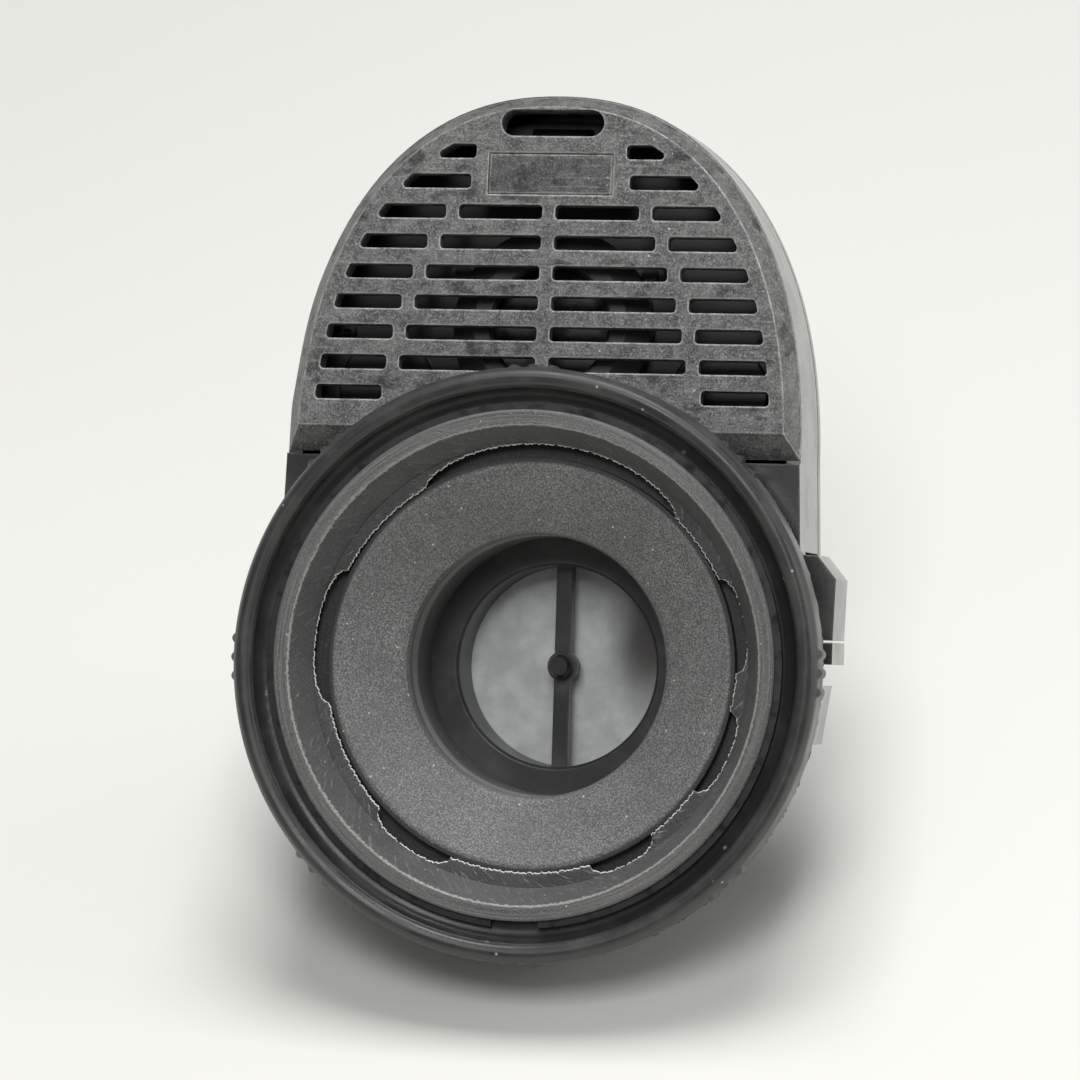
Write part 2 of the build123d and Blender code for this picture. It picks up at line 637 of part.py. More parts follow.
# Collar with its turned front face, snap ring groove and rear flange
RECESS_R = FUNNEL_FLANGE_R + FIT
with BuildPart() as inlet_collar:
    with BuildSketch(AXIAL):
        with BuildLine():
            Polyline(
                (COLLAR_IN - 0.2, COLLAR_FACE + 0.3), (COLLAR_IN + 0.2, COLLAR_FACE),
                (COLLAR_R - 0.3, COLLAR_FACE), (COLLAR_R, COLLAR_FACE + 0.3),
                (COLLAR_R, CLIP_D - FIT), (COLLAR_R - CLIP_BITE, CLIP_D - FIT),
                (COLLAR_R - CLIP_BITE, CLIP_D + CLIP_T + FIT), (COLLAR_R, CLIP_D + CLIP_T + FIT),
                (COLLAR_R, BODY_FRONT - FLANGE_T), (FLANGE_R, BODY_FRONT - FLANGE_T),
                (FLANGE_R, BODY_FRONT - SEAT), (RECESS_R, BODY_FRONT - SEAT),
                (RECESS_R, LIP_TOP), (LIP_R, LIP_TOP), close=True,
            )
        make_face()
    revolve(axis=PORT_AXIS)
    with BuildSketch(deep(BODY_FRONT)):
        with Locations(*COLLAR_SPOTS):
            Circle(SCREW_R + FIT)
    extrude(amount=SCREW_BITE, mode=Mode.SUBTRACT)
finish(inlet_collar.part, "inlet_collar")

# Six screws that hold the collar from inside the housing
with BuildPart() as collar_screws:
    with BuildSketch(deep(BODY_FRONT + WALL + SEAT)):
        with Locations(*COLLAR_SPOTS):
            Circle(COLLAR_HEAD_R)
    extrude(amount=-HEAD_T)
    with BuildSketch(deep(BODY_FRONT + WALL + SEAT)):
        with Locations(*COLLAR_SPOTS):
            Circle(SCREW_R)
    extrude(amount=WALL + SCREW_BITE - 0.2)
finish(collar_screws.part, "collar_screws")

# Snap ring in the dark groove between collar and lock ring, open at the bottom
with BuildPart() as ring_clip:
    with BuildSketch(deep(CLIP_D)):
        Circle(COLLAR_R + 1.2)
        Circle(COLLAR_R - CLIP_BITE + FIT, mode=Mode.SUBTRACT)
        with Locations((0, -COLLAR_R)):
            Rectangle(8, 6, mode=Mode.SUBTRACT)
    extrude(amount=-CLIP_T)
finish(ring_clip.part, "ring_clip")

with BuildPart() as ring_washer:
    with BuildSketch(deep(BODY_FRONT - FLANGE_T - SEAT)):
        Circle(FLANGE_R - 0.3)
        Circle(COLLAR_R + 0.3, mode=Mode.SUBTRACT)
    extrude(amount=WASHER_T)
finish(ring_washer.part, "ring_washer")

# Lock ring: hard inner ring with a hollow front, under a rubber sleeve with groups of ribs
RING_IN = COLLAR_R + FIT
SHOULDER_D = CLIP_D + CLIP_T + 0.3
STEP_R = RIM_R - RIM_BAND
with BuildPart() as lock_ring:
    with BuildSketch(AXIAL):
        with BuildLine():
            hollow = ThreePointArc(
                (COLLAR_R + 1.5, SHOULDER_D), (STEP_R - 0.8, SHOULDER_D - 0.6), (STEP_R, 1.2)
            )
            Polyline(
                hollow @ 1, (GRIP_R, 1.2), (GRIP_R, RING_BACK), (RING_IN, RING_BACK),
                (RING_IN, SHOULDER_D), hollow @ 0,
            )
        make_face()
    revolve(axis=PORT_AXIS)
finish(lock_ring.part, "lock_ring")

with BuildPart() as grip_sleeve:
    with BuildSketch(AXIAL):
        with BuildLine():
            inner = GRIP_R + FIT
            crown = ThreePointArc((STEP_R, 1.0), ((STEP_R + RIM_R) / 2, 0), (RIM_R, 1.6))
            Polyline(
                crown @ 1, (RIM_R, RING_BACK - 0.6), (RIM_R - 0.6, RING_BACK), (inner, RING_BACK),
                (inner, 1.2 - FIT), (STEP_R, 1.2 - FIT), crown @ 0,
            )
        make_face()
    revolve(axis=PORT_AXIS)
    step = math.degrees(RIB_PITCH / RIM_R)
    for turn in (-step, 0, step):
        with BuildSketch(deep(RING_BACK - 0.6)):
            with PolarLocations(RIM_R - RIB_H, RIB_GROUPS, start_angle=turn):
                Rectangle(2 * RIB_H, RIB_W, align=(Align.MIN, Align.CENTER))
        extrude(amount=RING_BACK - 2.6)
finish(grip_sleeve.part, "grip_sleeve")

# Soft lip clamped between the collar and the funnel flange
with BuildPart() as seal_lip:
    with BuildSketch(deep(LIP_TOP + SEAT)):
        Circle(RECESS_R - 0.3)
        Circle(LIP_R - LIP_SHOW, mode=Mode.SUBTRACT)
    extrude(amount=-LIP_T + SEAT)
finish(seal_lip.part, "seal_lip")

# Funnel: flange, dish and throat tube with the groove of the spigot seal
DISH_BOTTOM = THROAT_D - 1.6
DISH_SLOPE = (DISH_BOTTOM - DISH_D) / (DISH_R - DISH_SHELF - THROAT_R - DISH_RISE)
GROOVE_OUT = DISH_R + GROOVE_W
DISH_T = 1.6
GROOVE_D = TUBE_END - 3.4
with BuildPart() as inlet_funnel:
    with BuildSketch(AXIAL):
        with BuildLine():
            floor = BODY_FRONT - GASKET
            under = DISH_R - DISH_SHELF - 0.6
            neck = TUBE_R + 1.2
            back = DISH_BOTTOM - (neck - THROAT_R - DISH_RISE) * DISH_SLOPE + DISH_T
            Polyline(
                (FUNNEL_FLANGE_R, DISH_D), (GROOVE_OUT, DISH_D), (GROOVE_OUT, DISH_D + GROOVE_DEEP),
                (DISH_R, DISH_D + GROOVE_DEEP), (DISH_R, DISH_D), (DISH_R - DISH_SHELF, DISH_D),
                (THROAT_R + DISH_RISE, DISH_BOTTOM),
                (THROAT_R + 0.35, DISH_BOTTOM + 0.6), (THROAT_R, THROAT_D), (THROAT_R, SEAT_D),
                (PLUG_R, SEAT_D), (PLUG_R, TUBE_END), (TUBE_R, TUBE_END), (TUBE_R, GROOVE_D + 2 * ORING_R + 2 * FIT),
                (TUBE_R - 2 * ORING_R, GROOVE_D + 2 * ORING_R + 2 * FIT),
                (TUBE_R - 2 * ORING_R, GROOVE_D), (TUBE_R, GROOVE_D), (TUBE_R, back + 1.2),
                (neck, back), (under, DISH_D + DISH_T), (under, floor), (FUNNEL_FLANGE_R, floor),
                close=True,
            )
        make_face()
    revolve(axis=PORT_AXIS)
    for turn in (90, 210, 330):
        with BuildSketch(radial(turn, TUBE_R, CUP_FRONT + 1.8)):
            Circle(SMALL_STEM + FIT)
        extrude(amount=-1.2, mode=Mode.SUBTRACT)
finish(inlet_funnel.part, "inlet_funnel")

with BuildPart() as funnel_gasket:
    with BuildSketch(deep(BODY_FRONT - SEAT)):
        Circle(FUNNEL_FLANGE_R - 0.3)
        Circle(HOLE_R + 0.8, mode=Mode.SUBTRACT)
    extrude(amount=GASKET - 2 * SEAT)
finish(funnel_gasket.part, "funnel_gasket")

# Valve seat: plug in the throat with an upright bar and a hub, and a rim at its back
SEAT_BACK = TUBE_END + SEAT + SEAT_RIM
with BuildPart() as valve_seat:
    with BuildSketch(AXIAL):
        with BuildLine():
            plug = PLUG_R - FIT
            front = SEAT_D + SEAT
            Polyline(
                (SEAT_R, front + 0.5), (SEAT_R + 0.5, front), (plug - 0.3, front),
                (plug, front + 0.3), (plug, TUBE_END + SEAT), (TUBE_R, TUBE_END + SEAT),
                (TUBE_R, SEAT_BACK), (SEAT_R, SEAT_BACK), close=True,
            )
        make_face()
    revolve(axis=PORT_AXIS)
    with BuildSketch(deep(BAR_D)):
        Rectangle(BAR_W, 2 * SEAT_R + 0.6)
        Circle(HUB_R)
        Circle(STEM_R + FIT, mode=Mode.SUBTRACT)
    extrude(amount=-BAR_T)
finish(valve_seat.part, "valve_seat")

# Inhalation valve: soft disc with a stem through the hub and a retaining head
with BuildPart() as inhale_valve:
    with BuildSketch(AXIAL):
        with BuildLine():
            face = SEAT_BACK + SEAT
            head = BAR_D - DISC_TRAVEL - CLEAR
            Polyline(
                (0, head - 1.2), (1.3 * STEM_R, head - 1.2), (1.7 * STEM_R, head), (STEM_R, head),
                (STEM_R, face), (DISC_R - 0.3, face), (DISC_R, face + DISC_T / 2),
                (DISC_R - 0.4, face + DISC_T), (0, face + DISC_T), close=True,
            )
        make_face()
    revolve(axis=PORT_AXIS)
finish(inhale_valve.part, "inhale_valve")

# Nose spigot: round cup over the throat tube, closed to an oval tube with an end bead
CUP_R = TUBE_R + FIT + CUP_WALL
CUP_SHOULDER = SEAT_BACK + SEAT
with BuildPart() as nose_spigot:
    with BuildSketch(AXIAL):
        with BuildLine():
            inside = TUBE_R - 1.6
            Polyline(
                (TUBE_R + FIT, CUP_FRONT), (CUP_R - 0.4, CUP_FRONT), (CUP_R, CUP_FRONT + 0.4),
                (CUP_R, CUP_DEEP + CUP_END), (0, CUP_DEEP + CUP_END), (0, CUP_DEEP),
                (inside, CUP_DEEP), (inside, CUP_SHOULDER), (TUBE_R + FIT, CUP_SHOULDER), close=True,
            )
        make_face()
    revolve(axis=PORT_AXIS)
    with BuildSketch(deep(CUP_DEEP + CUP_END / 2)):
        RectangleRounded(SPIGOT_W, SPIGOT_H, SPIGOT_ROUND)
    extrude(amount=CUP_DEEP + CUP_END / 2 - SPIGOT_END)
    with BuildSketch(deep(SPIGOT_END - BEAD_L)):
        RectangleRounded(SPIGOT_W + 2 * BEAD, SPIGOT_H + 2 * BEAD, SPIGOT_ROUND + BEAD)
    extrude(amount=-BEAD_L)
    with BuildSketch(deep(CUP_DEEP)):
        RectangleRounded(
            SPIGOT_W - 2 * SPIGOT_WALL, SPIGOT_H - 2 * SPIGOT_WALL, SPIGOT_ROUND - SPIGOT_WALL
        )
    extrude(amount=CUP_DEEP - SPIGOT_END, mode=Mode.SUBTRACT)
    for turn in (90, 210, 330):
        with BuildSketch(radial(turn, CUP_R, CUP_FRONT + 1.8)):
            Circle(SMALL_STEM + CLEAR / 2)
        extrude(amount=-CUP_WALL - 2 * FIT, mode=Mode.SUBTRACT)
finish(nose_spigot.part, "nose_spigot")

with BuildPart() as spigot_oring:
    with BuildSketch(AXIAL):
        with Locations((TUBE_R - ORING_R + FIT / 2, GROOVE_D + ORING_R + FIT)):
            Circle(ORING_R)
    revolve(axis=PORT_AXIS)
finish(spigot_oring.part, "spigot_oring")

with BuildPart() as spigot_screws:
    for turn in (90, 210, 330):
        with BuildSketch(radial(turn, CUP_R + 0.3, CUP_FRONT + 1.8)):
            Circle(1.7 * SMALL_STEM)
        extrude(amount=0.9)
        with BuildSketch(radial(turn, CUP_R + 0.3, CUP_FRONT + 1.8)):
            Circle(SMALL_STEM)
        extrude(amount=-CUP_WALL - 1.3)
finish(spigot_screws.part, "spigot_screws")

# Release buttons: bevelled pad through the side window, retaining flange, hook arm and bow spring
for side, name in ((1, "right"), (-1, "left")):
    with BuildPart() as release_button:
        with BuildSketch(deep(BUTTON_FRONT)):
            with BuildLine():
                low, high = BUTTON_V
                Polyline(
                    (side * RETAIN_IN, low), (side * BUTTON_OUT, low),
                    (side * (BUTTON_OUT + 0.3), high - BUTTON_BEVEL - 1.0),
                    (side * (BUTTON_OUT - BUTTON_BEVEL), high), (side * RETAIN_IN, high), close=True,
                )
            make_face()
        extrude(amount=BUTTON_FRONT - BUTTON_BACK)
        with BuildSketch(deep(BUTTON_FRONT - RETAIN)):
            with Locations((side * (RETAIN_IN + RETAIN_OUT) / 2, sum(BUTTON_V) / 2)):
                Rectangle(RETAIN_T, BUTTON_V[1] - BUTTON_V[0] + 2 * RETAIN)
        extrude(amount=BUTTON_FRONT - RETAIN - BUTTON_BACK)
        with BuildSketch(AXIAL.offset(ARM_V[0])):
            with BuildLine():
                Polyline(
                    (side * (RETAIN_IN + 0.2), BUTTON_BACK - 5), (side * ARM_IN, BUTTON_BACK - 5),
                    (side * ARM_IN, ARM_END), (side * (ARM_OUT - 0.8), ARM_END),
                    (side * (ARM_OUT + BARB), ARM_END - 2.4), (side * (ARM_OUT + BARB), ARM_END - 3.0),
                    (side * ARM_OUT, ARM_END - 3.4), (side * ARM_OUT, BUTTON_BACK),
                    (side * (RETAIN_IN + 0.2), BUTTON_BACK), close=True,
                )
            make_face()
        extrude(amount=ARM_V[1] - ARM_V[0])
    finish(release_button.part, f"release_button_{name}")

    with BuildPart() as button_spring:
        with BuildSketch(AXIAL.offset(ARM_V[0] + 1.0)):
            with BuildLine():
                foot = POST_U + POST_T + SEAT
                crest = RETAIN_IN - SEAT
                first = BUTTON_FRONT - 1.5
                last = BUTTON_FRONT + 5.0
                outer = ThreePointArc(
                    (side * foot, first), (side * crest, (first + last) / 2), (side * foot, last)
                )
                inner = ThreePointArc(
                    (side * foot, first + LEAF_T), (side * (crest - LEAF_T), (first + last) / 2),
                    (side * foot, last - LEAF_T),
                )
                Line(outer @ 0, inner @ 0)
                Line(outer @ 1, inner @ 1)
            make_face()
        extrude(amount=ARM_V[1] - ARM_V[0] - 2.0)
    finish(button_spring.part, f"button_spring_{name}")
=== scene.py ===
# %% [markdown]
# # The front unit of a full face respirator
#
# The object is the hard middle of a breathing mask: a black housing with a slotted cover above and a
# round air inlet below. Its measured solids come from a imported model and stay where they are. This
# lesson adds what solids alone don't have: a torn rubber lip, a rubber grip with soft ribs, moulded
# grain, turning marks, dust and scuffs. Then it sets up a pale table, soft light and a camera.

# %% Load the measured model
import json
import math

import bpy
import numpy as np
from mathutils import Matrix, Vector


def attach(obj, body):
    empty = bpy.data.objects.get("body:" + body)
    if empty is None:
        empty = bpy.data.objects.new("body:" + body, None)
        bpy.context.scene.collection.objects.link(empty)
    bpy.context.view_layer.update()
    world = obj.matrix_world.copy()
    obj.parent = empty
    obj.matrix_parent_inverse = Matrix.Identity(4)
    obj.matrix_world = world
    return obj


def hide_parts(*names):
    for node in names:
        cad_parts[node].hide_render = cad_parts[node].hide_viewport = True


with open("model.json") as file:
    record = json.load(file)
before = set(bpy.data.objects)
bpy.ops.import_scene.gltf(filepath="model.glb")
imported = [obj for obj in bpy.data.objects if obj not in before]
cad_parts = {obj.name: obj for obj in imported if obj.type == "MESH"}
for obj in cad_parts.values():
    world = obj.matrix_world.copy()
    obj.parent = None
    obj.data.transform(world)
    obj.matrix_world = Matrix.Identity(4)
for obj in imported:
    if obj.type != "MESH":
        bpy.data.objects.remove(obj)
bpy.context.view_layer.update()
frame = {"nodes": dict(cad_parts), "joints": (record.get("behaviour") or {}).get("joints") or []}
nodes = frame["nodes"]

# %% [markdown]
# ## The port's own directions
#
# Nearly everything on this object is round about the inlet's axis, and that axis leans back. So the
# lesson works in port coordinates: u to the right, v up the face, d the depth behind the rim. The
# axis itself is read from the joint of the lock ring, which turns about it.

# %% Port coordinates
MM = 0.001
joints = {j["name"]: j for j in frame["joints"]}
RIM_CENTRE = np.array(joints["lock_ring_turn"]["pos_m"])
OUT = -np.array(joints["lock_ring_turn"]["axis"])
RIGHT = np.array([1.0, 0.0, 0.0])
UP = np.cross(OUT, RIGHT)


def port(u, v, d):
    """Point u right, v up and d deep in millimetres: the rim's centre plus u, v and minus d on its axes."""
    u, v, d = np.broadcast_arrays(u, v, d)
    return RIM_CENTRE + MM * (u[..., None] * RIGHT + v[..., None] * UP - d[..., None] * OUT)


print("inlet points", np.round(OUT, 3), "from", np.round(RIM_CENTRE, 4))

# %% [markdown]
# ## Surfaces from grids
#
# A ring of rubber is a closed profile carried round a circle, and both directions of that grid wrap
# round. One helper turns any grid of points into a mesh, so each piece only has to say its formula.


# %% Grid to mesh
def grid_mesh(name, points):
    """Mesh of quads over a grid that closes both ways: each corner joins the next row and the next column."""
    rows, columns = points.shape[:2]
    here = np.arange(rows * columns).reshape(rows, columns)
    below = np.roll(here, -1, axis=0)
    corners = (here, np.roll(here, -1, axis=1), np.roll(below, -1, axis=1), below)
    faces = np.stack(corners, axis=-1).reshape(-1, 4)
    mesh = bpy.data.meshes.new(name)
    mesh.from_pydata(points.reshape(-1, 3).tolist(), [], faces.tolist())
    mesh.shade_smooth()
    mesh.validate()
    piece = bpy.data.objects.new(name, mesh)
    bpy.context.scene.collection.objects.link(piece)
    print(name, len(mesh.vertices), "points")
    return piece


def rounded_profile(corners, radius, steps=4):
    """Closed profile with round corners: each corner bends between points radius along its two sides."""
    corners = np.asarray(corners, float)
    back = np.roll(corners, 1, axis=0) - corners
    ahead = np.roll(corners, -1, axis=0) - corners
    reach = np.minimum(radius, 0.45 * np.minimum(np.hypot(*back.T), np.hypot(*ahead.T)))[:, None]
    start = corners + back / np.hypot(*back.T)[:, None] * reach
    end = corners + ahead / np.hypot(*ahead.T)[:, None] * reach
    t = np.linspace(0, 1, steps)[None, :, None]
    bent = (1 - t) ** 2 * start[:, None] + 2 * t * (1 - t) * corners[:, None] + t ** 2 * end[:, None]
    return bent.reshape(-1, 2)


# %% [markdown]
# ## The rubber grip
#
# The lock ring wears a rubber sleeve with a rounded rim. Eight groups of three small ribs help a
# gloved hand to turn it. The sleeve's profile is carried round the port, and the ribs are soft bumps
# added to its radius, so they run out into the rubber without a hard edge, as moulded rubber does.

# %% Grip sleeve
RIM_R = 50.0
SLEEVE_IN = 47.06
STEP_R = 46.6
SLEEVE_BACK = 8.6
RIB_HEIGHT = 0.6
RIB_PITCH = 3.2
RIB_GROUPS = 8


def grip_points(turns=1080):
    """Sleeve profile round the axis; its radius grows by a rib's height at three cosine bumps per group."""
    corners = [(STEP_R, 1.1), (STEP_R + 0.5, 0.35), (STEP_R + 1.7, 0.02), (RIM_R - 0.9, 0.35), (RIM_R, 1.7),
               (RIM_R, 4.2), (RIM_R, 6.6), (RIM_R - 0.1, SLEEVE_BACK - 0.5), (RIM_R - 0.8, SLEEVE_BACK),
               (SLEEVE_IN, SLEEVE_BACK), (SLEEVE_IN, 1.13)]
    profile = rounded_profile(corners, 0.8, 5)
    angle = np.linspace(0, 2 * np.pi, turns, endpoint=False)
    spacing = 2 * np.pi / RIB_GROUPS
    along = ((angle + spacing / 2) % spacing - spacing / 2) * RIM_R
    near = np.abs(along[:, None] - np.array([-1, 0, 1]) * RIB_PITCH).min(axis=1)
    rib = np.cos(np.clip(near / 0.85, 0, 1) * np.pi / 2) ** 0.7
    depth = profile[:, 1]
    outside = np.clip((profile[:, 0] - RIM_R + 0.5) / 0.5, 0, 1)
    ends = np.clip((depth - 1.6) / 0.9, 0, 1) * np.clip((SLEEVE_BACK - 0.3 - depth) / 0.6, 0, 1)
    wave = 0.05 * np.sin(3 * angle + 0.6) + 0.03 * np.sin(7 * angle)
    flash = 0.3 * np.abs(np.sin(83 * angle + 5 * np.sin(13 * angle)) * np.sin(31 * angle + 1)) ** 2
    back = np.clip((depth - 7.6) / 0.4, 0, 1) * np.clip((profile[:, 0] - RIM_R + 0.9) / 0.4, 0, 1)
    radius = profile[None, :, 0] + (RIB_HEIGHT * rib[:, None] + wave[:, None]) * outside * ends
    radius = radius + flash[:, None] * back
    return port(radius * np.cos(angle)[:, None], radius * np.sin(angle)[:, None], depth[None, :])


grip = grid_mesh("rubber_grip", grip_points())
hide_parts("grip_sleeve")
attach(grip, "ring")

# %% [markdown]
# ## The torn sealing lip
#
# Under the collar a thin rubber lip bridges a groove in the funnel. On the real object it is old and
# torn: its inner edge wanders, and six long bites are missing, where the dark groove shows. The lip is
# again a profile round the axis, but its inner radius is a formula of the angle: a slow wander, fine
# fringes, and a half ellipse outwards for each bite. How near a point is to the torn edge is kept as
# an attribute of the mesh, so that the finish can make the fresh edge pale.

# %% Torn lip
LIP_OUT = 38.9
LIP_IN = 35.1
LIP_TOP = 7.06
LIP_BACK = 7.98
BITE_R = 37.25
BITES = ((-1.08, 1.45), (2.15, 3.02), (3.37, 4.17), (4.74, 5.37), (6.70, 7.50), (8.60, 9.85))


def torn_edge(angle):
    """Inner radius of the lip: waves and fringes about LIP_IN, with half ellipses up to BITE_R in bites."""
    hour = (3 - angle * 6 / np.pi) % 12
    inside = np.zeros_like(angle)
    for first, last in BITES:
        share = ((hour - (first + last) / 2 + 6) % 12 - 6) / ((last - first) / 2)
        inside = np.maximum(inside, np.clip(1 - np.abs(share) ** 3.5, 0, 1) ** 0.5)
    wander = 0.16 * np.sin(2 * angle + 1.0) + 0.14 * np.sin(5 * angle + 0.4)
    fringe = 0.09 * np.sin(97 * angle) * np.sin(23 * angle + 2)
    fringe = fringe + 0.07 * np.sin(211 * angle + 3 * np.sin(7 * angle))
    fringe = fringe + 0.05 * np.sin(389 * angle + 4 * np.sin(11 * angle))
    return LIP_IN + wander + fringe + inside * (BITE_R - LIP_IN - 0.6 * wander)


def lip_grid(turns=2880):
    """Flat ring that thins to a third and curls along the torn edge, and each point's nearness to it."""
    angle = np.linspace(0, 2 * np.pi, turns, endpoint=False)
    across = np.array([1.0, 0.6, 0.3, 0.12, 0.03, 0.0, 0.03, 0.12, 0.3, 0.6, 1.0])
    side = np.array([-1.0, -1.0, -0.9, -0.8, -0.6, 0.0, 0.6, 0.8, 0.9, 1.0, 1.0])
    edge = torn_edge(angle)[:, None]
    radius = edge + across[None, :] * (LIP_OUT - edge)
    middle = (LIP_TOP + LIP_BACK) / 2 - 0.05 * (1 - across)
    curl = (0.16 * np.sin(7 * angle + 1) + 0.12 * np.sin(19 * angle))[:, None] * (1 - across) ** 2
    half = 0.5 * (LIP_BACK - LIP_TOP) * (0.35 + 0.65 * across)
    depth = middle[None, :] + side[None, :] * half[None, :] + curl * np.clip(37.0 - radius, 0, 1)
    nearness = np.clip(1 - (radius - edge) / 0.6, 0, 1)
    return port(radius * np.cos(angle)[:, None], radius * np.sin(angle)[:, None], depth), nearness


lip_surface, lip_nearness = lip_grid()
lip = grid_mesh("torn_lip", lip_surface)
lip.data.attributes.new("torn", "FLOAT", "POINT").data.foreach_set("value", lip_nearness.ravel())
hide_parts("seal_lip")
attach(lip, "housing")

# %% [markdown]
# ## Shader maths as plain expressions
#
# A worn finish is arithmetic on noise. Wired by hand it is a tangle, so one small class wraps a socket
# and lets Python's own signs add the Math nodes. Another holds a material while it is being written.


# %% Wires and finishes
class Wire:
    """An output socket with arithmetic; every operation adds one Math node to its finish."""

    def __init__(self, finish, socket):
        self.finish = finish
        self.socket = socket

    def math(self, operation, *others):
        return self.finish.node("ShaderNodeMath", {"operation": operation}, dict(enumerate((self, *others))))

    def __add__(self, other):
        return self.math("ADD", other)

    def __mul__(self, other):
        return self.math("MULTIPLY", other)

    def __sub__(self, other):
        return self.math("SUBTRACT", other)

    def __rsub__(self, other):
        return (self * -1.0) + other

    def __truediv__(self, other):
        return self.math("DIVIDE", other)

    def __pow__(self, other):
        return self.math("POWER", other)

    def ramp(self, low, high, to_low=0.0, to_high=1.0):
        """Smooth step from (low, to_low) to (high, to_high), held flat outside."""
        settings = {"interpolation_type": "SMOOTHSTEP"}
        sockets = {"Value": self, "From Min": low, "From Max": high, "To Min": to_low, "To Max": to_high}
        return self.finish.node("ShaderNodeMapRange", settings, sockets)


class Finish:
    """A node material: a Principled shader, and node() for everything that feeds it."""

    def __init__(self, name, **constants):
        self.material = bpy.data.materials.new(name)
        self.material.use_nodes = True
        self.tree = self.material.node_tree
        self.shader = next(n for n in self.tree.nodes if n.type == "BSDF_PRINCIPLED")
        for socket, value in constants.items():
            self.shader.inputs[socket.replace("_", " ")].default_value = value
        self.place = self.node("ShaderNodeTexCoord", {}, {}, "Object")

    def node(self, kind, settings, sockets, out=0):
        made = self.tree.nodes.new(kind)
        for key, value in settings.items():
            setattr(made, key, value)
        for key, value in sockets.items():
            if isinstance(value, Wire):
                self.tree.links.new(value.socket, made.inputs[key])
            else:
                made.inputs[key].default_value = value
        return Wire(self, made.outputs[out])

    def feed(self, socket, wire):
        self.tree.links.new(wire.socket, self.shader.inputs[socket])

    def vector(self, operation, *parts, out=0):
        return self.node("ShaderNodeVectorMath", {"operation": operation}, dict(enumerate(parts)), out)

    def noise(self, size_mm, detail=3.0, roughness=0.55, place=None):
        """Soft noise from 0 to 1 with lumps about size_mm across."""
        sockets = {"Vector": place or self.place, "Scale": 1 / (size_mm * MM)}
        sockets.update({"Detail": detail, "Roughness": roughness})
        return self.node("ShaderNodeTexNoise", {}, sockets, "Fac")

    def specks(self, size_mm, share):
        """Small round specks: cells of size_mm where only the nearest part of a share of cells counts."""
        sockets = {"Vector": self.place, "Scale": 1 / (size_mm * MM), "Randomness": 1.0}
        near = self.node("ShaderNodeTexVoronoi", {}, sockets, "Distance").ramp(0.12, 0.22, 1.0, 0.0)
        pick = self.node("ShaderNodeTexVoronoi", {}, sockets, "Color")
        lot = self.node("ShaderNodeSeparateColor", {}, {0: pick}, 0).ramp(1 - share, 1 - share + 0.02)
        return near * lot

    def along(self):
        """Metres from the rim's centre along the port's right, up and out directions."""
        from_rim = self.vector("SUBTRACT", self.place, tuple(RIM_CENTRE))
        return [self.vector("DOT_PRODUCT", from_rim, tuple(a), out="Value") for a in (RIGHT, UP, OUT)]

    def stretched(self, scale):
        """Object place stretched along the port's right, up and out, for scratches that run one way."""
        parts = [part * s for part, s in zip(self.along(), scale)]
        return self.node("ShaderNodeCombineXYZ", {}, dict(enumerate(parts)))

    def turned(self):
        """Radius, angle and depth about the port's axis, in millimetres and radians."""
        u, v, out = (part / MM for part in self.along())
        return (u * u + v * v) ** 0.5, v.math("ARCTAN2", u), out * -1.0

    def mix(self, share, first, second):
        """Colour between first and second by share."""
        return self.node("ShaderNodeMix", {"data_type": "RGBA"}, {"Factor": share, 6: first, 7: second}, 2)

    def edges(self, radius_mm):
        """Softened normal of a rounded edge, and a mask of 0 on flats rising to 1 on edges."""
        soft = self.node("ShaderNodeBevel", {"samples": 4}, {"Radius": radius_mm * MM})
        plain = self.node("ShaderNodeNewGeometry", {}, {}, "Normal")
        turn = self.vector("DOT_PRODUCT", soft, plain, out="Value")
        return soft, (1 - turn).ramp(0.005, 0.12)

    def bump(self, height, depth_mm, normal=None):
        """Bump of a height from 0 to 1 that is depth_mm deep, on top of an optional softened normal."""
        sockets = {"Height": height, "Distance": depth_mm * MM, "Strength": 1.0}
        if normal is not None:
            sockets["Normal"] = normal
        self.feed("Normal", self.node("ShaderNodeBump", {}, sockets))


def grey(level, warm=0.0):
    """Neutral colour of a linear level, a little warmer where warm is above 0."""
    return (level * (1 + warm), level, level * (1 - warm), 1.0)


# %% [markdown]
# ## Moulded black plastic
#
# The housing, buttons and lugs are injection moulded: a fine even grain, slightly shiny, greyer along
# rubbed edges and dusty in patches. The grain is a bump, the rubbed edges come from the angle between
# the true normal and a softened one, and dust is a share of broad noise.


# %% Housing plastic
def moulded_plastic(name, level, edge_level, grain_mm=0.35, rough=0.42, edge_mm=0.5, **constants):
    """Black plastic: grain bump, paler edges, dust in broad patches and a few pale specks."""
    f = Finish(name, Roughness=rough, Specular_IOR_Level=0.5, **constants)
    soft, edge = f.edges(edge_mm)
    patch = f.noise(9.0, 4.0).ramp(0.42, 0.72)
    grain = f.noise(grain_mm, 2.0)
    worn = edge * f.noise(2.5, 3.0).ramp(0.3, 0.7, 0.25, 1.0)
    base = f.mix(patch, grey(level), grey(level * 1.7, 0.03))
    base = f.mix(worn, base, grey(edge_level, 0.03))
    base = f.mix(f.specks(2.2, 0.06) * 0.7, base, grey(0.352, 0.04))
    f.feed("Base Color", base)
    f.feed("Roughness", patch * 0.12 + grain * 0.1 + (rough - 0.1))
    f.bump(grain, 0.02, soft)
    return f.material


def dress(material, *names):
    """Give CAD nodes a finish in place of their plain one."""
    for name in names:
        slots = nodes[name].data.materials
        slots.clear()
        slots.append(material)
    print(material.name, "on", ", ".join(names))


